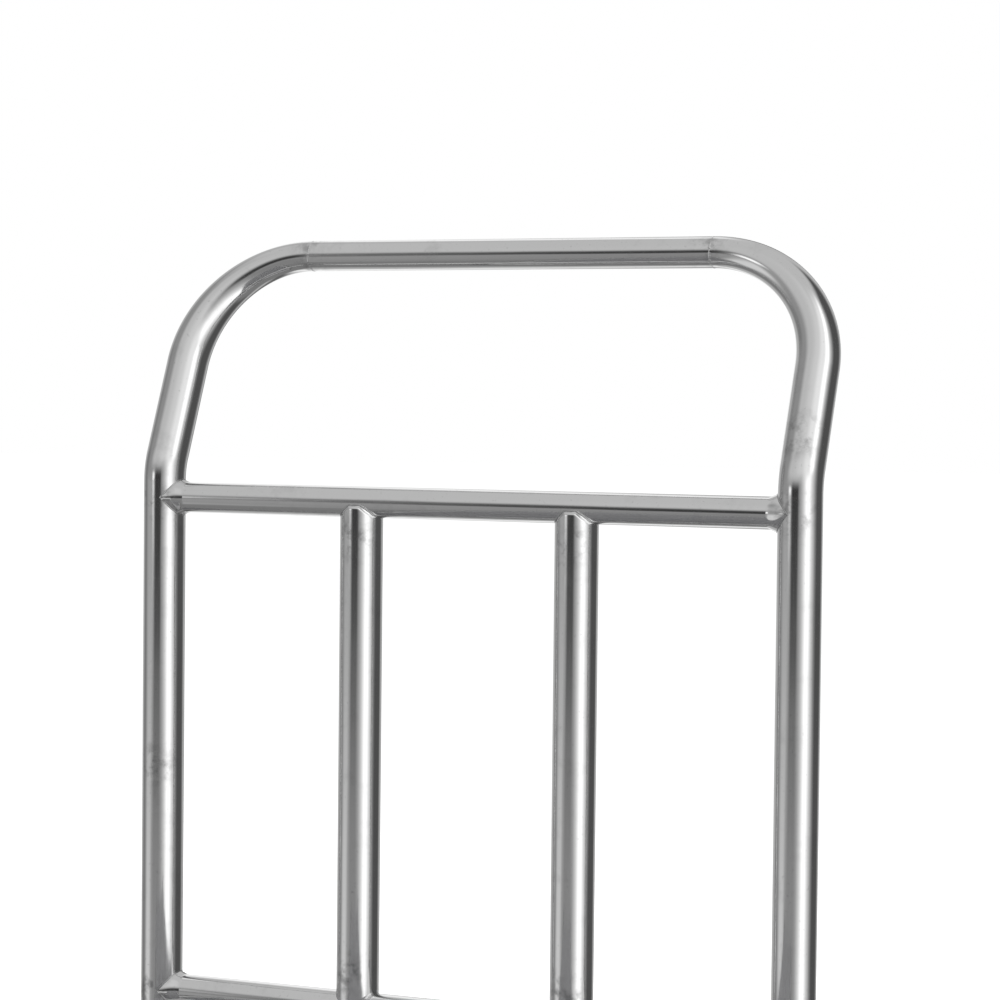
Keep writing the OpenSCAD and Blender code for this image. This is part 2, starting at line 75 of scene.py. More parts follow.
# Weld and fixing sizes
SKIN = 0.06 * MM
TRIM_SCREW = (3.6 * MM, 1.5 * MM)
PLATE_SCREW = (4.2 * MM, 1.7 * MM)
RIVET = (4.5 * MM, 1.2 * MM)
PLATE_SCREW_INSET = 12 * MM

# Heights of the wear marks, above the lower rail and above the kink
LEFT_SCUFF_RISE = 190 * MM
RIGHT_SCUFF_RISE = 35 * MM
BAR_MARK_RISE = 30 * MM

# The camera of the reference view
VIEW_AZIMUTH = math.radians(23.90)
VIEW_ELEVATION = math.radians(2.06)
VIEW_ROLL = math.radians(0.60)
VIEW_DEPTH = 2.420
VIEW_LENS = 108.4
AXIS_RIGHT_OF_RAIL = 26.0 * MM
AXIS_ABOVE_RAIL = 3.9 * MM


def middle(node):
    """The middle of a CAD node's box."""
    low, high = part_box(node)
    return (low + high) / 2


def size_of(node):
    """The sides of a CAD node's box."""
    low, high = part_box(node)
    return high - low


# Places in the push frame
POST_R = size_of("post_end_plugs").y / 2
POST_Y = middle("post_end_plugs").y
POST_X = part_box("post_end_plugs")[1].x - POST_R
FOOT_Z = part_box("post_left")[0].z
RAIL_R = size_of("upper_rail").z / 2
UPPER_Z = middle("upper_rail").z
LOWER_Z = middle("lower_rail").z
GRIP = middle("grip_bar")
GRIP_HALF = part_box("grip_bar")[1].x
CORNER_R = POST_X - GRIP_HALF
LEAN_LENGTH = (GRIP.y - POST_Y) / math.sin(LEAN)
KINK_Z = GRIP.z - LEAN_LENGTH * math.cos(LEAN)
KINK_TANGENT = KINK_R * math.tan(LEAN / 2)
LEAN_UP = Vector((0, math.sin(LEAN), math.cos(LEAN)))
LEAN_BACK = Vector((0, math.cos(LEAN), -math.sin(LEAN)))
BAR_X = middle("inner_bar_right").x

# Places in the deck
DECK_LOW, DECK_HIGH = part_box("deck_board")
BOARD_TOP = DECK_HIGH.z
CARPET_LOW, CARPET_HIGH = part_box("deck_carpet")
PLATE_LOW, PLATE_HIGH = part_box("rear_deck_plate")
SIDES = ((-1, "left"), (1, "right"))
CASTERS = ("rear_left", "rear_right", "front_left", "front_right")
BRAKED_CASTERS = CASTERS[:2]
FIXED_CASTERS = CASTERS[2:]
X = Vector((1, 0, 0))
Y = Vector((0, 1, 0))
Z = Vector((0, 0, 1))


# ---------------------------------------------------------------- node helpers

def add(tree, kind, inputs=None, **settings):
    """Adds a node, sets its properties, and links or sets its inputs."""
    made = tree.nodes.new(kind)
    for key, value in settings.items():
        setattr(made, key, value)
    for key, value in (inputs or {}).items():
        if isinstance(value, bpy.types.NodeSocket):
            tree.links.new(value, made.inputs[key])
        else:
            made.inputs[key].default_value = value
    return made


def calc(tree, operation, a, b=0.0):
    return add(tree, "ShaderNodeMath", {0: a, 1: b}, operation=operation).outputs[0]


def vector_calc(tree, operation, a, b=(0, 0, 0)):
    return add(tree, "ShaderNodeVectorMath", {0: a, 1: b}, operation=operation)


def fade(tree, value, start, end, low=0.0, high=1.0):
    """Eases from low to high as value runs from start to end."""
    made = add(
        tree,
        "ShaderNodeMapRange",
        {"Value": value, "From Min": start, "From Max": end, "To Min": low, "To Max": high},
        interpolation_type="SMOOTHSTEP",
    )
    return made.outputs["Result"]


def blend(tree, factor, a, b):
    """Colour a where factor is 0, and b where it is 1."""
    made = add(tree, "ShaderNodeMix", {0: factor, 6: a, 7: b}, data_type="RGBA")
    return made.outputs[2]


def stretch(tree, coords, scale):
    return add(tree, "ShaderNodeMapping", {"Vector": coords, "Scale": scale}).outputs[0]


def lengthways(along, slow, fast):
    """Texture scales that draw a pattern out along X, Y, Z or an unrolled tube."""
    scale = [fast, fast, fast]
    scale[{"X": 0, "Y": 1, "Z": 2, "tube": 2}[along]] = slow
    return scale


def grain(tree, coords, scale, detail=2.0, roughness=0.5):
    """Noise that runs from 0 to 1."""
    inputs = {"Vector": coords, "Scale": scale, "Detail": detail, "Roughness": roughness}
    return add(tree, "ShaderNodeTexNoise", inputs).outputs[0]


def bump(tree, height, distance, strength=1.0, under=None):
    inputs = {"Height": height, "Distance": distance, "Strength": strength}
    if under is not None:
        inputs["Normal"] = under
    return add(tree, "ShaderNodeBump", inputs).outputs[0]


def grey(level):
    return (level, level, level, 1)


def start_material(name, metallic=0.0):
    """A new material with its node tree, its shader and the object's own coordinates."""
    material = bpy.data.materials.new(name)
    material.use_nodes = True
    tree = material.node_tree
    shader = tree.nodes["Principled BSDF"]
    shader.inputs["Metallic"].default_value = metallic
    coords = add(tree, "ShaderNodeTexCoord").outputs["Object"]
    return material, tree, shader, coords


def finish_material(tree, shader, colour, roughness, normal):
    tree.links.new(colour, shader.inputs["Base Color"])
    tree.links.new(roughness, shader.inputs["Roughness"])
    tree.links.new(normal, shader.inputs["Normal"])


# ---------------------------------------------------------------- materials

def near_any(tree, coords, places, radius):
    """1 at the given places, and 0 further than radius from all of them."""
    total = None
    for place in places:
        away = vector_calc(tree, "DISTANCE", coords, place)
        near = fade(tree, away.outputs["Value"], radius, 0.0)
        total = near if total is None else calc(tree, "MAXIMUM", total, near)
    return total


def polished_steel(name, along, marks=()):
    """Polished tube: fine streaks run along it, with faint waves, wipe marks and heat marks at welds."""
    material, tree, shader, coords = start_material(name, metallic=1.0)
    run = coords
    if along == "tube":
        run = add(tree, "ShaderNodeAttribute", attribute_name="unrolled").outputs["Vector"]
    streaks = grain(tree, stretch(tree, run, lengthways(along, 40, 1400)), 1.0, 3.0)
    waves = grain(tree, stretch(tree, run, lengthways(along, 8, 34)), 1.0, 1.0)
    wipes = fade(tree, grain(tree, coords, 38.0, 4.0, 0.62), 0.52, 0.72)
    specks = fade(tree, grain(tree, coords, 420.0, 2.0), 0.66, 0.74)
    dull = calc(tree, "MULTIPLY", wipes, 0.38)
    if marks:
        spots = near_any(tree, coords, marks, 26 * MM)
        blotch = fade(tree, grain(tree, coords, 85.0, 3.0, 0.6), 0.42, 0.74)
        burnt = calc(tree, "MULTIPLY", spots, blotch)
        dull = calc(tree, "MAXIMUM", dull, burnt)
    dull = calc(tree, "MAXIMUM", dull, calc(tree, "MULTIPLY", specks, 0.6))
    colour = blend(tree, dull, grey(0.80), grey(0.62))
    if marks:
        colour = blend(tree, burnt, colour, grey(0.30))
    base_rough = fade(tree, streaks, 0.3, 0.7, 0.065, 0.115)
    roughness = calc(tree, "ADD", base_rough, calc(tree, "MULTIPLY", dull, 0.16))
    wavy = bump(tree, waves, 0.9 * MM, 0.45)
    normal = bump(tree, streaks, 0.006 * MM, 1.0, wavy)
    finish_material(tree, shader, colour, roughness, normal)
    return material


def groove_shaded_weld_steel():
    """Polished weld metal: rougher than the tube, with pits, and darker than the tube, partly from the
    weld's own tone and partly as painted shade of the groove along the weld's edge.
    """
    material, tree, shader, coords = start_material("groove_shaded_weld_steel", metallic=1.0)
    pits = grain(tree, coords, 900.0, 3.0, 0.7)
    tint = grain(tree, coords, 120.0, 2.0)
    # Painted shade: both greys sit below the tube's, so each weld draws a dark groove line. The noise
    # between them is random tone.
    colour = blend(tree, tint, grey(0.34), grey(0.62))
    roughness = fade(tree, pits, 0.35, 0.65, 0.28, 0.46)
    finish_material(tree, shader, colour, roughness, bump(tree, pits, 0.15 * MM, 0.5))
    return material


def brushed_sheet(name, along):
    """Brushed stainless sheet with long scratches and scuffs."""
    material, tree, shader, coords = start_material(name, metallic=1.0)
    lines = grain(tree, stretch(tree, coords, lengthways(along, 25, 2200)), 1.0, 4.0, 0.6)
    scuffs = fade(tree, grain(tree, coords, 24.0, 5.0, 0.65), 0.5, 0.7)
    colour = blend(tree, scuffs, grey(0.66), grey(0.55))
    rough = fade(tree, lines, 0.3, 0.7, 0.24, 0.36)
    roughness = calc(tree, "ADD", rough, calc(tree, "MULTIPLY", scuffs, 0.1))
    finish_material(tree, shader, colour, roughness, bump(tree, lines, 0.02 * MM, 0.8))
    return material


def zinc_plate():
    """Bright zinc plating: faint crystals, dull patches and small stains."""
    material, tree, shader, coords = start_material("zinc_plate", metallic=1.0)
    cells = add(tree, "ShaderNodeTexVoronoi", {"Vector": coords, "Scale": 320.0}).outputs["Color"]
    crystal = add(tree, "ShaderNodeSeparateColor", {0: cells}).outputs[0]
    stains = fade(tree, grain(tree, coords, 60.0, 5.0, 0.7), 0.48, 0.72)
    plate = blend(tree, crystal, (0.56, 0.58, 0.61, 1), (0.64, 0.66, 0.69, 1))
    colour = blend(tree, stains, plate, (0.40, 0.40, 0.39, 1))
    bright = fade(tree, crystal, 0.0, 1.0, 0.22, 0.30)
    roughness = calc(tree, "ADD", bright, calc(tree, "MULTIPLY", stains, 0.2))
    fine = grain(tree, coords, 900.0, 2.0)
    finish_material(tree, shader, colour, roughness, bump(tree, fine, 0.03 * MM, 0.7))
    return material


def powder_coat():
    """Satin black powder coat with orange peel and grey dust."""
    material, tree, shader, coords = start_material("powder_coat")
    shader.inputs["Coat Weight"].default_value = 0.25
    shader.inputs["Coat Roughness"].default_value = 0.35
    peel = grain(tree, coords, 650.0, 2.0)
    dust = fade(tree, grain(tree, coords, 18.0, 6.0, 0.65), 0.42, 0.78, 0.0, 0.55)
    colour = blend(tree, dust, (0.018, 0.018, 0.020, 1), (0.085, 0.082, 0.078, 1))
    roughness = fade(tree, dust, 0.0, 0.55, 0.36, 0.58)
    finish_material(tree, shader, colour, roughness, bump(tree, peel, 0.06 * MM, 0.8))
    return material


def worn_paint(edge_z):
    """Red gloss paint, scratched through to the metal on the tread above edge_z."""
    material, tree, shader, coords = start_material("worn_paint")
    shader.inputs["Coat Weight"].default_value = 0.4
    shader.inputs["Coat Roughness"].default_value = 0.15
    height = add(tree, "ShaderNodeSeparateXYZ", {0: coords}).outputs["Z"]
    rubbed = fade(tree, height, edge_z - 6 * MM, edge_z + 8 * MM, 0.0, 0.16)
    flakes = calc(tree, "ADD", grain(tree, coords, 260.0, 6.0, 0.7), rubbed)
    bare = fade(tree, flakes, 0.66, 0.70)
    mottle = grain(tree, coords, 40.0, 3.0)
    paint = blend(tree, mottle, (0.36, 0.012, 0.014, 1), (0.50, 0.022, 0.020, 1))
    colour = blend(tree, bare, paint, (0.42, 0.42, 0.43, 1))
    roughness = fade(tree, bare, 0.0, 1.0, 0.26, 0.42)
    tree.links.new(bare, shader.inputs["Metallic"])
    depth = calc(tree, "MULTIPLY", bare, -1.0)
    peel = bump(tree, grain(tree, coords, 500.0), 0.05 * MM, 0.6)
    finish_material(tree, shader, colour, roughness, bump(tree, depth, 0.12 * MM, 0.9, peel))
    return material


def varnished_ply():
    """Varnished plywood: long grain, darker figure lines, and layers that show on the edges."""
    material, tree, shader, coords = start_material("varnished_ply")
    shader.inputs["Coat Weight"].default_value = 0.2
    shader.inputs["Coat Roughness"].default_value = 0.3
    fibres = grain(tree, stretch(tree, coords, (260, 7, 160)), 1.0, 5.0, 0.6)
    figure = grain(tree, stretch(tree, coords, (26, 1.6, 260)), 1.0, 3.0)
    figured = fade(tree, figure, 0.35, 0.65)
    wood = blend(tree, figured, (0.36, 0.25, 0.15, 1), (0.50, 0.37, 0.24, 1))
    colour = blend(tree, fade(tree, fibres, 0.52, 0.72, 0.0, 0.6), wood, (0.28, 0.15, 0.07, 1))
    roughness = fade(tree, fibres, 0.3, 0.7, 0.38, 0.52)
    finish_material(tree, shader, colour, roughness, bump(tree, fibres, 0.12 * MM, 0.5))
    return material


def cut_pile(name, dark, light):
    """Short cut pile: tufts that catch the light differently, with trodden patches."""
    material, tree, shader, coords = start_material(name)
    shader.inputs["Sheen Weight"].default_value = 0.18
    shader.inputs["Sheen Roughness"].default_value = 0.45
    shader.inputs["Specular IOR Level"].default_value = 0.15
    tufts = add(tree, "ShaderNodeTexVoronoi", {"Vector": coords, "Scale": 520.0})
    strands = grain(tree, coords, 1500.0, 3.0, 0.7)
    trodden = fade(tree, grain(tree, coords, 9.0, 4.0, 0.6), 0.3, 0.7, 0.95, 1.04)
    rows = grain(tree, stretch(tree, coords, (260, 900, 900)), 1.0, 2.0)
    shade = calc(tree, "MULTIPLY", calc(tree, "ADD", strands, rows), calc(tree, "MULTIPLY", trodden, 0.5))
    cells = add(tree, "ShaderNodeTexVoronoi", {"Vector": coords, "Scale": 330.0}).outputs["Color"]
    yarn = add(tree, "ShaderNodeSeparateColor", {0: cells}).outputs[0]
    tuft_light = fade(tree, shade, 0.38, 0.62, 0.0, 0.6)
    yarn_light = fade(tree, yarn, 0.45, 1.0, 0.0, 0.6)
    colour = blend(tree, calc(tree, "ADD", tuft_light, yarn_light), dark, light)
    roughness = fade(tree, strands, 0.3, 0.7, 0.82, 0.98)
    pile = calc(tree, "SUBTRACT", strands, tufts.outputs["Distance"])
    finish_material(tree, shader, colour, roughness, bump(tree, pile, 1.2 * MM, 0.85))
    return material


def moulded_rubber():
    """Matte black rubber: fine mould texture, grey bloom and rub marks."""
    material, tree, shader, coords = start_material("moulded_rubber")
    shader.inputs["Specular IOR Level"].default_value = 0.35
    skin = grain(tree, coords, 1300.0, 2.0)
    bloom = fade(tree, grain(tree, coords, 30.0, 6.0, 0.7), 0.35, 0.8)
    rubs = fade(tree, grain(tree, stretch(tree, coords, (60, 60, 700)), 1.0, 4.0, 0.6), 0.6, 0.72)
    colour = blend(tree, bloom, grey(0.016), grey(0.028))
    colour = blend(tree, calc(tree, "MULTIPLY", rubs, 0.22), colour, grey(0.075))
    roughness = fade(tree, bloom, 0.0, 1.0, 0.55, 0.75)
    finish_material(tree, shader, colour, roughness, bump(tree, skin, 0.08 * MM, 0.9))
    return material


def wheel_rubber(name, axle):
    """Grey non-marking tyre: the tread is dusty and scuffed, the side walls are cleaner."""
    material, tree, shader, coords = start_material(name)
    shader.inputs["Specular IOR Level"].default_value = 0.35
    from_axle = vector_calc(tree, "SUBTRACT", coords, axle).outputs[0]
    in_plane = vector_calc(tree, "MULTIPLY", from_axle, (0, 1, 1)).outputs[0]
    reach = vector_calc(tree, "LENGTH", in_plane).outputs["Value"]
    tread = fade(tree, reach, 70 * MM, 74.5 * MM)
    dirt = calc(tree, "MULTIPLY", tread, fade(tree, grain(tree, coords, 90.0, 5.0, 0.7), 0.3, 0.6))
    skin = grain(tree, coords, 1100.0, 3.0)
    mottle = grain(tree, coords, 45.0, 3.0)
    clean = blend(tree, mottle, (0.135, 0.138, 0.142, 1), (0.175, 0.178, 0.182, 1))
    colour = blend(tree, calc(tree, "MULTIPLY", dirt, 0.8), clean, (0.080, 0.074, 0.066, 1))
    roughness = fade(tree, dirt, 0.0, 1.0, 0.52, 0.82)
    finish_material(tree, shader, colour, roughness, bump(tree, skin, 0.1 * MM, 0.8))
    return material


def moulded_nylon():
    """Light grey moulded nylon with a slight mottle and dirt in patches."""
    material, tree, shader, coords = start_material("moulded_nylon")
    shader.inputs["Subsurface Weight"].default_value = 0.08
    skin = grain(tree, coords, 700.0, 2.0)
    dirt = fade(tree, grain(tree, coords, 55.0, 5.0, 0.7), 0.5, 0.75, 0.0, 0.7)
    mottle = grain(tree, coords, 14.0)
    clean = blend(tree, mottle, (0.50, 0.51, 0.52, 1), (0.60, 0.61, 0.62, 1))
    colour = blend(tree, dirt, clean, (0.27, 0.26, 0.24, 1))
    roughness = fade(tree, skin, 0.3, 0.7, 0.34, 0.48)
    finish_material(tree, shader, colour, roughness, bump(tree, skin, 0.05 * MM, 0.7))
    return material


# ---------------------------------------------------------------- mesh helpers

def lattice(rows, wrap=False, capped=True):
    """Vertices and faces of a grid whose rows are closed loops. The last row joins the first if wrap."""
    width = len(rows[0])
    points = [point for row in rows for point in row]
    faces = []
    for i in range(len(rows) if wrap else len(rows) - 1):
        a = i * width
        b = (i + 1) % len(rows) * width
        for k in range(width):
            n = (k + 1) % width
            faces.append((a + k, a + n, b + n, b + k))
    if capped and not wrap:
        faces.append(tuple(range(width)))
        faces.append(tuple(range((len(rows) - 1) * width, len(rows) * width)))
    return points, faces


def merge(parts):
    """Joins several (points, faces) shapes into one."""
    points, faces = [], []
    for part_points, part_faces in parts:
        offset = len(points)
        points.extend(part_points)
        faces.extend(tuple(v + offset for v in face) for face in part_faces)
    return points, faces


def piece(name, shape, material, body="chassis", sharp=40.0):
    """Makes an object from (points, faces), smooth except at edges sharper than the given degrees."""
    mesh = bpy.data.meshes.new(name)
    mesh.from_pydata([tuple(p) for p in shape[0]], [], shape[1])
    grid = bmesh.new()
    grid.from_mesh(mesh)
    bmesh.ops.recalc_face_normals(grid, faces=grid.faces)
    grid.to_mesh(mesh)
    grid.free()
    mesh.shade_smooth()
    mesh.set_sharp_from_angle(angle=math.radians(sharp))
    made = bpy.data.objects.new(name, mesh)
    bpy.context.scene.collection.objects.link(made)
    mesh.materials.append(material)
    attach(made, body)
    return made


def ring(centre, across, up, radius, sides):
    """A closed circle of points round centre."""
    turns = [TAU * k / sides for k in range(sides)]
    return [centre + across * (radius * math.cos(a)) + up * (radius * math.sin(a)) for a in turns]


def exact_normals(mesh, normals):
    """Gives smooth faces the true normals of the curved surface, and leaves flat ends flat."""
    corners = []
    for face in mesh.polygons:
        for v in face.vertices:
            true_normal = normals[v]
            corners.append(true_normal if true_normal.dot(face.normal) > 0.5 else face.normal.copy())
    mesh.normals_split_custom_set([tuple(n) for n in corners])


def tube(name, stations, material, node):
    """A round tube along stations (centre, across, up, radius, distance run), in place of a CAD node."""
    sides = 72
    rows, normals, unrolled = [], [], []
    walls = [(station, 0.0, 1) for station in stations]
    walls += [(station, WALL, -1) for station in reversed(stations)]
    for (centre, across, up, radius, run), inset, facing in walls:
        rows.append(ring(centre, across, up, radius - inset, sides))
        normals += [n * facing for n in ring(Vector(), across, up, 1.0, sides)]
        unrolled += ring(Vector((0, 0, run)), X, Y, radius - inset, sides)
    made = piece(name, lattice(rows, wrap=True), material)
    straightened = made.data.attributes.new("unrolled", "FLOAT_VECTOR", "POINT")
    straightened.data.foreach_set("vector", [c for p in unrolled for c in p])
    exact_normals(made.data, normals)
    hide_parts(node)
    return made


def bead(path, radius, closed=False, ripple=0.10, pitch=1.9 * MM, sides=10):
    """A weld bead along path, a list of (point, outward normal): small even ripples, slightly uneven."""
    rows = []
    run = 0.0
    last = len(path) - 1
    for i, (point, out) in enumerate(path):
        before = path[i - 1 if i or closed else 0][0]
        after = path[(i + 1) % len(path) if i < last or closed else last][0]
        ahead = (after - before).normalized()
        run += (point - before).length if i else 0.0
        side = ahead.cross(out).normalized()
        swell = 1 + ripple * math.sin(TAU * run / pitch) + rng.uniform(-0.05, 0.05)
        rows.append(ring(point, side.cross(ahead), side, radius * swell, sides))
    return lattice(rows, wrap=closed)


def turned(profile, centre, axis, steps):
    """A solid of revolution from a closed profile of (distance along the axis, radius)."""
    across = Z if abs(axis.x) > 0.5 else X
    up = axis.cross(across)
    rows = [ring(centre + axis * along, across, up, radius, steps) for along, radius in profile]
    return lattice(rows, wrap=True)


def screw_head(place, out, radius, height, cross=True):
    """A domed screw head with a cross recess, or a plain rivet head."""
    across = (Y if abs(out.z) > 0.5 else Z).copy()
    up = out.cross(across)
    turn = rng.uniform(0, TAU)
    sides = 32
    rows = [ring(place - out * (0.4 * MM), across, up, radius, sides)]
    for step in range(8):
        share = 1 - step / 8
        row = []
        for k in range(sides):
            a = TAU * k / sides
            dome = math.sqrt(max(0.0, 1 - (share * 0.96) ** 2.4))
            near_arm = min(abs(math.sin(a - turn)), abs(math.cos(a - turn))) * share * radius
            sunk = cross and share < 0.66 and near_arm < 0.16 * radius
            lift = height * (dome - (0.55 if sunk else 0.0))
            flat = across * math.cos(a) + up * math.sin(a)
            row.append(place + flat * (radius * share) + out * lift)
        rows.append(row)
    return lattice(rows)


# ---------------------------------------------------------------- push frame

def post_stations(side):
    """The post's centre line: up from the foot, round the kink, then along the lean."""
    start = Vector((side * POST_X, POST_Y, FOOT_Z))
    bend_z = KINK_Z - KINK_TANGENT
    straight_steps = 12
    bend_steps = 24
    lean_steps = 6
    stations = []
    for step in range(straight_steps + 1):
        z = FOOT_Z + (bend_z - FOOT_Z) * step / straight_steps
        stations.append((Vector((start.x, POST_Y, z)), X, Y, POST_R, z - FOOT_Z))
    centre = Vector((start.x, POST_Y + KINK_R, bend_z))
    for step in range(1, bend_steps + 1):
        a = LEAN * step / bend_steps
        out = Vector((0, -math.cos(a), math.sin(a)))
        stations.append((centre + out * KINK_R, X, -out, POST_R, bend_z - FOOT_Z + KINK_R * a))
    bend_end = stations[-1]
    leg = LEAN_LENGTH - CORNER_R - KINK_TANGENT
    for step in range(1, lean_steps + 1):
        up = leg * step / lean_steps
        stations.append((bend_end[0] + LEAN_UP * up, X, LEAN_BACK, POST_R, bend_end[4] + up))
    return stations


def elbow_stations(side):
    """The handle's corner: a quarter turn that eases down to the grip bar's diameter."""
    centre = Vector((side * GRIP_HALF, GRIP.y, GRIP.z)) - LEAN_UP * CORNER_R
    stations = []
    steps = 60
    for step in range(steps + 1):
        share = step / steps
        a = math.pi / 2 * share
        out = X * (side * math.cos(a)) + LEAN_UP * math.sin(a)
        eased = share * share * (3 - 2 * share)
        radius = POST_R + (RAIL_R - POST_R) * eased
        stations.append((centre + out * CORNER_R, out, LEAN_BACK, radius, CORNER_R * a))
    return stations


def curve(start, leave, end, arrive, t):
    """A point on the smooth curve that leaves start and arrives at end in the given directions."""
    point = start * (2 * t**3 - 3 * t**2 + 1) + leave * (t**3 - 2 * t**2 + t)
    return point + end * (3 * t**2 - 2 * t**3) + arrive * (t**3 - t**2)


def rail_saddle(side, z):
    """Weld metal that carries a rail's end round the post, to a point near the post's front."""
    post = Vector((side * POST_X, POST_Y, z))
    inward = X * -side
    reach = 6.5 * MM
    height = 15.0 * MM
    depth = 1.2 * MM
    tip_turn = math.radians(16)
    sides = 72
    steps = 12
    rows, edge = [], []
    for k in range(sides):
        a = TAU * k / sides
        front, rise = math.cos(a), math.sin(a)
        round_rail = Y * -front + Z * rise
        start = inward * (POST_R + reach) + round_rail * (RAIL_R + SKIN)
        quarter = math.atan2(abs(rise), abs(front))
        turn = tip_turn + quarter * (1 - tip_turn / (math.pi / 2))
        out = inward * math.sin(turn) - Y * math.copysign(math.cos(turn), front)
        end = out * (POST_R + SKIN) + Z * (height * rise)
        leave = inward * (-0.6 * (end - start).length)
        arrive = (end - start) * 1.2
        arrive.y *= 1 - front * front
        outer = [post + curve(start, leave, end, arrive, step / steps) for step in range(steps + 1)]
        radial = (end - Z * end.z).normalized()
        inner_end = post + end - radial * depth
        inner_start = post + start - round_rail * depth
        rows.append(outer + [inner_end, (inner_end + inner_start) / 2, inner_start])
        edge.append((post + end, radial))
    parts = [lattice(rows, wrap=True)]
    if side < 0:
        crest = [(point - Z * 1.4 * MM, -Y) for point in rows[0][7:12]]
        parts.append(bead(crest, 1.3 * MM, ripple=0.30, pitch=4.0 * MM))
    return merge(parts), edge


def bar_saddle(x, rail_z, below):
    """Fills out an inner bar's domed end to a fish-mouth, with straight arms that meet in a point."""
    facing = -1 if below else 1
    peak = 4.4 * MM
    side_drop = RAIL_R + 1.2 * MM
    depth = 1.0 * MM
    foot = facing * DOME_H * 1.7
    axis = Vector((x, POST_Y, rail_z))
    sides = 96
    rows, edge = [], []
    for k in range(sides):
        a = TAU * k / sides
        flat = Vector((math.cos(a), math.sin(a), 0))
        arm = max(0.0, math.hypot(math.cos(a), 0.12) - 0.30) / 0.70
        drop = facing * (peak + (side_drop - peak) * arm)
        outer = flat * (POST_R + SKIN)
        lip = flat * (POST_R - 0.5 * MM) + Z * (drop - facing * 0.5 * MM)
        towards = Vector((0, lip.y, lip.z - facing * 2.5 * MM)).normalized()
        seat = Vector((lip.x, 0, 0)) + towards * (RAIL_R - 0.4 * MM)
        inner = flat * (POST_R - depth)
        heights = (foot, drop + facing * 1.6 * MM, drop + facing * 0.5 * MM)
        row = [outer + Z * height for height in heights]
        row += [flat * (POST_R - 0.1 * MM) + Z * drop, lip, (lip * 2 + seat) / 3, seat]
        row += [seat * 0.9 + inner * 0.1 + Z * facing * MM, inner + Z * foot]
        rows.append([axis + point for point in row])
        edge.append((axis + lip * 0.35 + seat * 0.65, (flat - Z * facing * 0.6).normalized()))
    return lattice(rows, wrap=True), edge


def push_frame(tube_steel, rail_steel, bar_steel, weld):
    """The bent tubes, and a saddle and a weld wherever two tubes meet."""
    for side, word in SIDES:
        tube(f"post_tube_{word}", post_stations(side), tube_steel, f"post_{word}")
        tube(f"elbow_tube_{word}", elbow_stations(side), tube_steel, f"elbow_{word}")
        for z, place in ((UPPER_Z, "upper"), (LOWER_Z, "lower")):
            shape, edge = rail_saddle(side, z)
            piece(f"rail_saddle_{place}_{word}", shape, rail_steel, sharp=60)
            # The rail and bar welds here and the collar welds below take the weld steel, which is darker
            # partly as painted groove shade.
            piece(f"rail_weld_{place}_{word}", bead(edge, 0.55 * MM, closed=True), weld)
            shape, edge = bar_saddle(side * BAR_X, z, place == "upper")
            piece(f"bar_saddle_{place}_{word}", shape, bar_steel, sharp=50)
            piece(f"bar_weld_{place}_{word}", bead(edge, 0.7 * MM, closed=True), weld)
        grip_end = Vector((side * GRIP_HALF, GRIP.y, GRIP.z))
        grip_joint = inside_cad(round_weld(grip_end, X, LEAN_UP, RAIL_R - 0.5 * MM, 1.6 * MM))
        piece(f"grip_weld_{word}", grip_joint, rail_steel)
        collar_top = Vector((side * POST_X, POST_Y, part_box("post_collars")[1].z))
        collar_joint = round_weld(collar_top, Z, X, POST_R + 0.6 * MM, 1.3 * MM)
        piece(f"collar_weld_{word}", collar_joint, weld)


def inside_cad(shape):
    """Pulls points that stand out of the CAD box back to its faces."""
    low, high = cad_box
    points = [Vector([min(max(p[i], low[i]), high[i]) for i in range(3)]) for p in shape[0]]
    return points, shape[1]


def round_weld(centre, axis, across, radius, bead_r):
    """A polished weld right round a tube, mostly sunk into it."""
    sunk = radius - 0.55 * bead_r
    outs = ring(Vector(), across, axis.cross(across), 1.0, 120)
    return bead([(centre + out * sunk, out) for out in outs], bead_r, closed=True, ripple=0.05)


# ---------------------------------------------------------------- deck

def carpet(pile, edging):
    """The deck's carpet: a tufted surface with trodden hollows, and a whipped yarn edge all round."""
    edge = 3.0 * MM
    step = 4.0 * MM
    low = CARPET_LOW + Vector((edge, edge, 0))
    high = CARPET_HIGH - Vector((edge, edge, 0))
    across = round((high.x - low.x) / step)
    along = round((high.y - low.y) / step)
    rows = []
    for j in range(along + 1):
        y = low.y + (high.y - low.y) * j / along
        row = [Vector((high.x, y, low.z)), Vector((low.x, y, low.z))]
        for i in range(across + 1):
            x = low.x + (high.x - low.x) * i / across
            to_edge = min(x - low.x, high.x - x, y - low.y, high.y - y)
            shoulder = 1.8 * MM * max(0.0, 1 - to_edge / (10 * MM)) ** 2
            hollow = 0.5 * MM * noise.noise(Vector((x, y, 0)) * 7)
            tuft = rng.uniform(-0.42, 0.42) * MM
            row.append(Vector((x, y, high.z - 0.6 * MM - shoulder + hollow + tuft)))
        rows.append(row)
    top = piece("carpet_pile", lattice(rows), pile, sharp=80)
    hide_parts("deck_carpet")
    yarn_r = 2.7 * MM
    left, right = CARPET_LOW.x + yarn_r, CARPET_HIGH.x - yarn_r
    front, back = CARPET_LOW.y + yarn_r, CARPET_HIGH.y - yarn_r
    outline = ((left, front), (right, front), (right, back), (left, back))
    corners = [Vector((x, y, 0)) for x, y in outline]
    path = []
    yarn_z = BOARD_TOP + yarn_r * 1.05
    for start, end in zip(corners, corners[1:] + corners[:1]):
        count = round((end - start).length / (1.3 * MM))
        for i in range(1, count):
            path.append((start.lerp(end, i / count) + Z * yarn_z, Z))
    whipping = bead(path, yarn_r, closed=True, ripple=0.07, pitch=3.9 * MM)
    yarn = piece("carpet_edging", whipping, edging, sharp=80)


def spread(start, end, count):
    """Evenly spaced values, half a gap in from either end."""
    return [start + (end - start) * (k + 0.5) / count for k in range(count)]


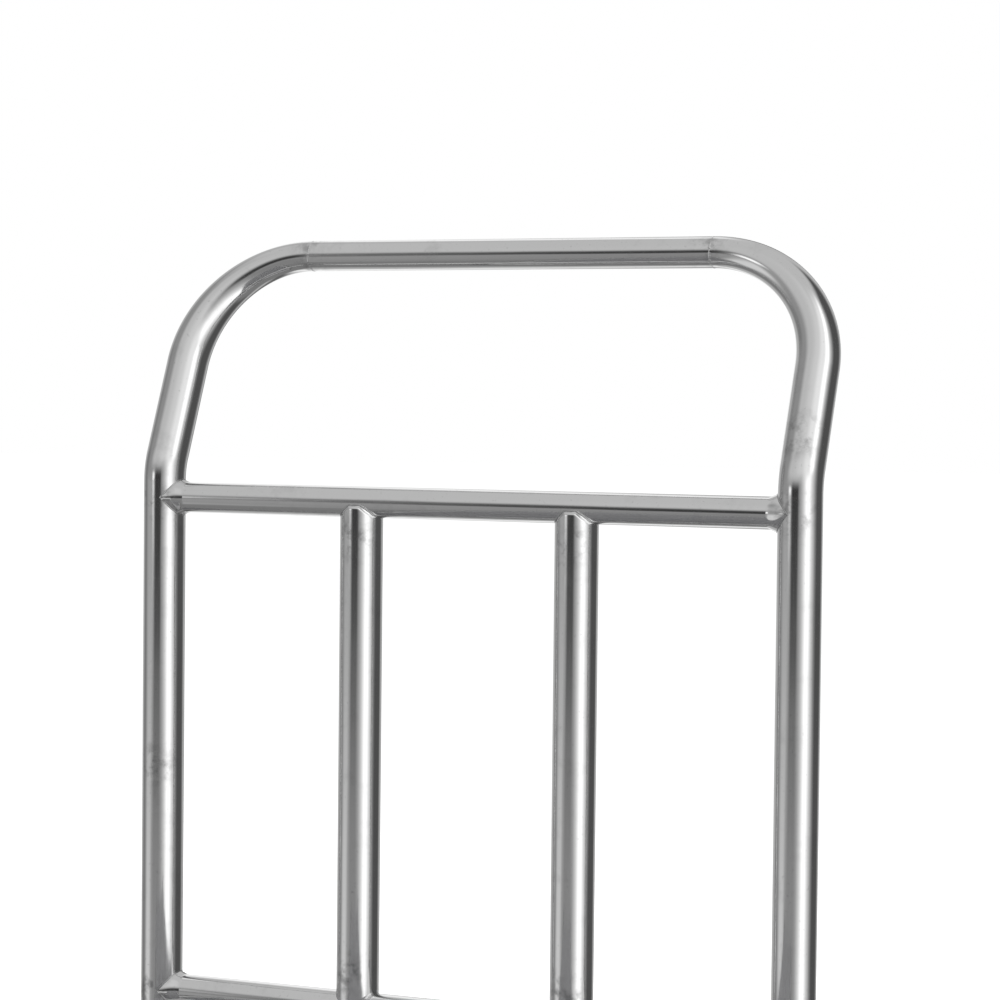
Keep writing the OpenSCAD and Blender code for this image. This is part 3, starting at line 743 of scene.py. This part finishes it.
def deck_fixings(zinc):
    """Screws in the trim and the rear plate, and rivets in the bumper strips."""
    trim_z = BOARD_TOP + TRIM_T
    leg_x = DECK_HIGH.x - TRIM_LAP / 2
    places = [(side * leg_x, y) for side in (-1, 1) for y in spread(DECK_LOW.y, DECK_HIGH.y, 7)]
    for y in (DECK_LOW.y + TRIM_LAP / 2, DECK_HIGH.y - TRIM_LAP / 2):
        places += [(x, y) for x in spread(-leg_x, leg_x, 4)]
    parts = [screw_head(Vector((x, y, trim_z)), Z, *TRIM_SCREW) for x, y in places]
    piece("trim_screws", merge(parts), zinc)
    parts = []
    for y in (PLATE_LOW.y + PLATE_SCREW_INSET, PLATE_HIGH.y - PLATE_SCREW_INSET):
        for x in spread(PLATE_LOW.x, PLATE_HIGH.x, 5):
            parts.append(screw_head(Vector((x, y, PLATE_HIGH.z)), Z, *PLATE_SCREW))
    piece("plate_screws", merge(parts), zinc)
    parts = []
    for side, word in SIDES:
        low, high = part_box(f"bumper_{word}")
        face = high.x if side > 0 else low.x
        for y in spread(low.y, high.y, 5):
            place = Vector((face, y, (low.z + high.z) / 2))
            parts.append(screw_head(place, X * side, *RIVET, cross=False))
    for side, word in ((-1, "front"), (1, "rear")):
        low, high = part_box(f"bumper_{word}")
        face = high.y if side > 0 else low.y
        for x in spread(low.x, high.x, 3):
            place = Vector((x, face, (low.z + high.z) / 2))
            parts.append(screw_head(place, Y * side, *RIVET, cross=False))
    piece("bumper_rivets", merge(parts), zinc)


def corner_section(step, steps, out):
    """How far the corner block stands out, as a share, and its height, as a share."""
    share = step / steps
    edge = min(share, 1 - share) / 0.12
    rounded = 1 - 0.42 * (1 - min(1.0, edge)) ** 2.2
    groove = 0.0
    for middle_share in (0.3, 0.5, 0.7):
        groove = max(groove, 1 - abs(share - middle_share) / 0.035)
    return rounded - groove * 1.6 * MM / out, share


def corner_bumper(side, end, low, high, out, leg):
    """One moulded corner block: rounded edges and three grooves, wrapped round the trim's corner."""
    deck_end = DECK_HIGH.y if end > 0 else DECK_LOW.y
    corner = Vector((side * (DECK_HIGH.x + TRIM_T), deck_end + end * TRIM_T, 0))
    bend = BUMPER_CORNER_R - out
    leg_steps = 9
    bend_steps = 24
    section_steps = 48
    stations = []
    for k in range(leg_steps):
        y = -leg + (leg - bend) * k / leg_steps
        stations.append(((0, y), (out, y)))
    for k in range(bend_steps + 1):
        a = math.pi / 2 * k / bend_steps
        c, s = math.cos(a), math.sin(a)
        square = bend / max(c, s)
        inner = (square * c - bend, square * s - bend)
        outer = (BUMPER_CORNER_R * c - bend, BUMPER_CORNER_R * s - bend)
        stations.append((inner, outer))
    for k in range(1, leg_steps + 1):
        x = -bend - (leg - bend) * k / leg_steps
        stations.append(((x, 0), (x, out)))
    rows = []
    last = len(stations) - 1
    for i, (inner, outer) in enumerate(stations):
        tucked = 1 - 0.3 * max(0.0, 1 - min(i, last - i) / 1.5) ** 2
        row = [(inner, high), (inner, low)]
        for step in range(section_steps + 1):
            share, lift = corner_section(step, section_steps, out)
            share *= tucked
            flat = [a + (b - a) * share for a, b in zip(inner, outer)]
            row.append((flat, low + (high - low) * lift))
        rows.append([corner + Vector((side * f[0], end * f[1], z)) for f, z in row])
    return lattice(rows)


def corner_bumpers(rubber):
    """The four moulded corner blocks, in place of the CAD's plain ones."""
    low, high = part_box("corner_bumpers")
    out = high.x - DECK_HIGH.x - TRIM_T
    leg = DECK_HIGH.x + TRIM_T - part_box("bumper_front")[1].x
    parts = [corner_bumper(s, e, low.z, high.z, out, leg) for s in (-1, 1) for e in (-1, 1)]
    made = piece("moulded_corners", merge(parts), rubber, sharp=35)
    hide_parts("corner_bumpers")


def chassis_welds(weld_paint):
    """Painted weld beads where the cross tubes meet the side rails."""
    steps = 40
    end_gap = 1.5 * MM
    parts = []
    cross_tubes = ["front_rail", "rear_rail"]
    cross_tubes += [f"cross_member_{place}" for place in ("front", "middle", "rear")]
    for node in cross_tubes:
        low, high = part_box(node)
        for side, x in ((1, low.x), (-1, high.x)):
            for face, y in ((-1, low.y), (1, high.y)):
                out = Vector((side, face, 0)).normalized()
                start_z = low.z + end_gap
                rise = high.z - end_gap - start_z
                path = [(Vector((x, y, start_z + rise * k / steps)), out) for k in range(steps + 1)]
                parts.append(bead(path, 2.2 * MM, ripple=0.14, pitch=2.6 * MM))
    piece("chassis_welds", merge(parts), weld_paint)


# ---------------------------------------------------------------- casters

def tyre_profile(half, radius, inner):
    """Half-round shoulders, a nearly flat tread with two grooves, and a raised band on each wall."""
    shoulder = 7 * MM
    shoulder_steps = 12
    core_half = 16 * MM
    points = [(-core_half, inner), (-core_half, inner + 2 * MM), (-half, inner + 2 * MM)]
    points += [(-half, inner + 3.2 * MM), (-half + 0.7 * MM, inner + 3.8 * MM)]
    points += [(-half + 0.7 * MM, radius - shoulder - 1.2 * MM), (-half, radius - shoulder - 0.5 * MM)]
    for k in range(shoulder_steps + 1):
        a = math.pi / 2 * k / shoulder_steps
        points.append((-half + shoulder * (1 - math.cos(a)), radius - shoulder * (1 - math.sin(a))))
    groove = -6.0 * MM
    groove_floor = radius - 1.3 * MM
    points += [(groove - 1.1 * MM, radius), (groove - 0.7 * MM, groove_floor)]
    points += [(groove + 0.7 * MM, groove_floor), (groove + 1.1 * MM, radius)]
    points += [(-0.5 * MM, radius - 0.05 * MM)]
    return points + [(-along, r) for along, r in reversed(points)]


def treaded_tyres():
    """A grooved tyre on each wheel, in place of the CAD's plain one."""
    thickness = 17 * MM
    for name in CASTERS:
        centre = middle(f"{name}_tyre")
        extent = size_of(f"{name}_tyre")
        radius = extent.z / 2
        rubber = wheel_rubber(f"wheel_rubber_{name}", centre)
        profile = tyre_profile(extent.x / 2, radius, radius - thickness)
        shape = turned(profile, centre, X, 120)
        made = piece(f"{name}_treaded_tyre", shape, rubber, f"{name}_wheel", sharp=28)
        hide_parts(f"{name}_tyre")


def pedal_ribs(paint):
    """Raised ribs across the foot pad of each brake pedal."""
    down = Vector((0, math.cos(PEDAL_SLOPE), -math.sin(PEDAL_SLOPE)))
    up = Vector((0, math.sin(PEDAL_SLOPE), math.cos(PEDAL_SLOPE)))
    half_length = 17 * MM
    half_width = 1.3 * MM
    rise = 0.9 * MM
    first = 6 * MM
    pitch = 8 * MM
    ribs = 4
    steps = 24
    for name in BRAKED_CASTERS:
        centre_x = middle(f"{name}_pedal").x
        tip = pad_top(name, up)
        parts = []
        for k in range(ribs):
            rib_middle = tip - down * (first + k * pitch)
            rib = []
            for i in range(steps + 1):
                share = 2 * i / steps - 1
                place = Vector((centre_x + half_length * share, rib_middle.y, rib_middle.z))
                taper = 1 - 0.5 * abs(share) ** 6
                rib.append(ring(place, down * half_width, up * rise, taper, 12))
            parts.append(lattice(rib))
        piece(f"{name}_pedal_ribs", merge(parts), paint, f"{name}_brake")


def pad_top(name, up):
    """The far upper corner of a pedal's foot pad, found as the vertex that lies furthest back there."""
    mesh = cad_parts[f"{name}_pedal"].data
    back = max(v.co.y for v in mesh.vertices)
    rearmost = [v.co for v in mesh.vertices if v.co.y > back - 0.1 * MM]
    best = max(rearmost, key=lambda co: co.dot(up))
    return Vector((0, best.y, best.z))


# ---------------------------------------------------------------- studio

def panel(tree, flat, height, below, azimuth, half_width, low, high, level, soft=9, rise=5):
    """Lays a softbox or flag over the pattern below it. Angles are degrees, azimuth from the camera."""
    turn = VIEW_AZIMUTH + math.radians(azimuth)
    facing = (math.sin(turn), -math.cos(turn), 0)
    away = calc(tree, "ARCCOSINE", vector_calc(tree, "DOT_PRODUCT", flat, facing).outputs["Value"])
    wide = fade(tree, away, math.radians(half_width + soft), math.radians(half_width - soft))
    over = fade(tree, height, math.radians(low - rise), math.radians(low + rise))
    top_rise = 1.5 * rise
    under = fade(tree, height, math.radians(high + top_rise), math.radians(high - top_rise))
    weight = calc(tree, "MULTIPLY", wide, calc(tree, "MULTIPLY", over, under))
    return blend(tree, weight, below, grey(level))


def studio_world():
    """White to the camera, even light on matt surfaces, and softboxes and flags in reflections."""
    world = bpy.data.worlds.new("studio")
    bpy.context.scene.world = world
    world.use_nodes = True
    world.cycles.sampling_method = "NONE"
    tree = world.node_tree
    tree.nodes.clear()
    direction = add(tree, "ShaderNodeTexCoord").outputs["Generated"]
    height = calc(tree, "ARCSINE", add(tree, "ShaderNodeSeparateXYZ", {0: direction}).outputs["Z"])
    level_only = vector_calc(tree, "MULTIPLY", direction, (1, 1, 0)).outputs[0]
    flat = vector_calc(tree, "NORMALIZE", level_only).outputs[0]
    floor_level = fade(tree, height, math.radians(-55), math.radians(-12), 0.22, 0.36)
    ceiling = fade(tree, height, math.radians(8), math.radians(24), 0.0, 0.22)
    level = calc(tree, "ADD", floor_level, ceiling)
    seen = add(tree, "ShaderNodeCombineColor", {0: level, 1: level, 2: level}).outputs[0]

    def lay(**words):
        return panel(tree, flat, height, seen, **words)

    seen = lay(azimuth=-110, half_width=30, low=2, high=46, level=0.31, soft=14)
    seen = lay(azimuth=-80, half_width=15, low=-40, high=-7, level=0.74)
    seen = lay(azimuth=-33, half_width=19, low=-7, high=12, level=0.045, soft=8)
    seen = lay(azimuth=-30, half_width=20, low=-40, high=-10, level=0.25)
    seen = lay(azimuth=-61, half_width=6, low=-2, high=8, level=1.25, soft=4, rise=1.5)
    seen = lay(azimuth=0, half_width=34, low=24, high=62, level=0.72, soft=26)
    seen = lay(azimuth=34, half_width=27, low=-65, high=66, level=0.95, soft=17)
    seen = lay(azimuth=34, half_width=12, low=-50, high=18, level=1.38, soft=11)
    seen = lay(azimuth=52, half_width=10, low=18, high=62, level=1.45, soft=9)
    seen = lay(azimuth=107, half_width=28, low=-50, high=60, level=0.09, soft=13)
    seen = lay(azimuth=-118, half_width=12, low=-60, high=20, level=0.22)
    seen = lay(azimuth=154, half_width=9, low=-60, high=60, level=0.55)
    seen = lay(azimuth=-150, half_width=14, low=-60, high=60, level=0.50)
    seen = lay(azimuth=170, half_width=8, low=-60, high=30, level=0.13)
    seen = lay(azimuth=-171, half_width=7, low=-60, high=60, level=1.1)
    path = add(tree, "ShaderNodeLightPath")
    mirrored = blend(tree, path.outputs["Is Glossy Ray"], grey(1.0), seen)
    final = blend(tree, path.outputs["Is Camera Ray"], mirrored, grey(1.0))
    background = add(tree, "ShaderNodeBackground", {"Color": final, "Strength": 1.0})
    add(tree, "ShaderNodeOutputWorld", {"Surface": background.outputs[0]})


def area_light(name, place, aim, size, power):
    """A round soft light that is not seen itself, in the picture or in the polished tubes."""
    light = bpy.data.lights.new(name, "AREA")
    light.shape = "DISK"
    light.size = size
    light.energy = power
    lamp = bpy.data.objects.new(name, light)
    bpy.context.scene.collection.objects.link(lamp)
    lamp.location = place
    lamp.rotation_euler = (aim - place).to_track_quat("-Z", "Y").to_euler()
    lamp.visible_glossy = False
    lamp.visible_camera = False


def studio_floor():
    """A pale floor that runs out to white."""
    half = 30.0
    steps = 12
    glow = 0.12
    rows = []
    for j in range(steps + 1):
        y = half * (2 * j / steps - 1)
        rows.append([Vector((half * (2 * i / steps - 1), y, 0)) for i in range(steps + 1)])
    width = steps + 1
    faces = []
    for j in range(steps):
        for i in range(steps):
            a = j * width + i
            faces.append((a, a + 1, a + width + 1, a + width))
    mesh = bpy.data.meshes.new("studio_floor")
    mesh.from_pydata([tuple(p) for row in rows for p in row], [], faces)
    material, tree, shader, coords = start_material("pale_floor")
    paper = grain(tree, coords, 2.0, 3.0)
    colour = blend(tree, paper, grey(0.93), grey(0.95))
    roughness = fade(tree, paper, 0.3, 0.7, 0.9, 1.0)
    shader.inputs["Specular IOR Level"].default_value = 0.0
    shader.inputs["Emission Color"].default_value = grey(1.0)
    shader.inputs["Emission Strength"].default_value = glow
    finish_material(tree, shader, colour, roughness, bump(tree, paper, 0.01 * MM, 0.1))
    mesh.materials.append(material)
    floor = bpy.data.objects.new("studio_floor", mesh)
    bpy.context.scene.collection.objects.link(floor)
    floor.visible_glossy = False


def reference_camera():
    """The camera of the reference view, placed from the upper rail's centre."""
    cos_e, sin_e = math.cos(VIEW_ELEVATION), math.sin(VIEW_ELEVATION)
    back = Vector((math.sin(VIEW_AZIMUTH) * cos_e, -math.cos(VIEW_AZIMUTH) * cos_e, sin_e))
    level_right = Vector((math.cos(VIEW_AZIMUTH), math.sin(VIEW_AZIMUTH), 0))
    level_up = back.cross(level_right)
    right = level_right * math.cos(VIEW_ROLL) + level_up * math.sin(VIEW_ROLL)
    up = level_up * math.cos(VIEW_ROLL) - level_right * math.sin(VIEW_ROLL)
    lens = bpy.data.cameras.new("reference_camera")
    lens.lens = VIEW_LENS
    lens.clip_end = 100
    camera = bpy.data.objects.new("reference_camera", lens)
    bpy.context.scene.collection.objects.link(camera)
    aim = middle("upper_rail") + right * AXIS_RIGHT_OF_RAIL + up * AXIS_ABOVE_RAIL
    place = aim + back * VIEW_DEPTH
    turn = Matrix((right, up, back)).transposed().to_4x4()
    camera.matrix_world = Matrix.Translation(place) @ turn
    bpy.context.scene.camera = camera


def paint_nodes(material, *nodes):
    """Gives CAD nodes that stay in sight their material."""
    for node in nodes:
        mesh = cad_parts[node].data
        mesh.materials.clear()
        mesh.materials.append(material)


# ---------------------------------------------------------------- the cart

left_scuff = Vector((-POST_X, POST_Y - POST_R, LOWER_Z + LEFT_SCUFF_RISE))
right_scuff = Vector((POST_X, POST_Y, KINK_Z + RIGHT_SCUFF_RISE))
weld_places = [Vector((s * POST_X, POST_Y - POST_R, z)) for s in (-1, 1) for z in (UPPER_Z, LOWER_Z)]
weld_places += [Vector((s * GRIP_HALF, GRIP.y, GRIP.z)) for s in (-1, 1)]
bar_mark_heights = (UPPER_Z - BAR_MARK_RISE, LOWER_Z + BAR_MARK_RISE)
bar_marks = [Vector((s * BAR_X, POST_Y - POST_R, z)) for s in (-1, 1) for z in bar_mark_heights]

tube_steel = polished_steel("tube_steel", "tube", weld_places + [left_scuff, right_scuff])
tube_steel_x = polished_steel("tube_steel_x", "X", weld_places)
tube_steel_z = polished_steel("tube_steel_z", "Z", bar_marks)
collar_steel = polished_steel("collar_steel", "Z")
# Weld steel, darker partly as painted shade of the weld grooves
weld = groove_shaded_weld_steel()
trim_along = brushed_sheet("brushed_trim_y", "Y")
trim_across = brushed_sheet("brushed_trim_x", "X")
zinc = zinc_plate()
coat = powder_coat()
ply = varnished_ply()
pile = cut_pile("cut_pile", (0.040, 0.040, 0.043, 1), (0.245, 0.245, 0.250, 1))
edging = cut_pile("whipped_yarn", (0.040, 0.040, 0.042, 1), (0.15, 0.15, 0.155, 1))
rubber = moulded_rubber()
nylon = moulded_nylon()
pedal_red = worn_paint(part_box("rear_left_pedal")[1].z - 8 * MM)

paint_nodes(tube_steel_x, "upper_rail", "lower_rail", "grip_bar")
paint_nodes(tube_steel_z, "inner_bar_left", "inner_bar_right")
paint_nodes(collar_steel, "post_collars")
paint_nodes(trim_along, "trim_left", "trim_right")
paint_nodes(trim_across, "trim_front", "trim_rear", "rear_deck_plate")
paint_nodes(zinc, "post_bolts", "deck_screws", "caster_fasteners", "swivel_top_plates", "kingpins")
paint_nodes(ply, "deck_board")
paint_nodes(rubber, "post_end_plugs", "bumper_left", "bumper_right", "bumper_front", "bumper_rear")
paint_nodes(coat, "side_rail_left", "side_rail_right", "front_rail", "rear_rail", "caster_pads")
paint_nodes(coat, "cross_member_front", "cross_member_middle", "cross_member_rear")
for caster in CASTERS:
    paint_nodes(zinc, f"{caster}_axle", f"{caster}_bearings")
    paint_nodes(nylon, f"{caster}_core")
for caster in BRAKED_CASTERS:
    paint_nodes(zinc, f"{caster}_balls", f"{caster}_fork")
    paint_nodes(pedal_red, f"{caster}_pedal")
for caster in FIXED_CASTERS:
    paint_nodes(zinc, f"{caster}_bracket")

push_frame(tube_steel, tube_steel_x, tube_steel_z, weld)
carpet(pile, edging)
deck_fixings(zinc)
corner_bumpers(rubber)
chassis_welds(coat)
treaded_tyres()
pedal_ribs(pedal_red)

studio_world()
studio_floor()
area_light("key_light", Vector((1.6, -1.8, 2.6)), Vector((0, 0, 0.3)), 1.6, 60)
area_light("fill_light", Vector((-2.2, -0.6, 2.0)), Vector((0, 0, 0.4)), 1.8, 25)
area_light("back_light", Vector((0.4, 2.4, 2.4)), Vector((0, 0, 0.4)), 1.6, 30)
reference_camera()
bpy.context.scene.view_settings.view_transform = "Standard"
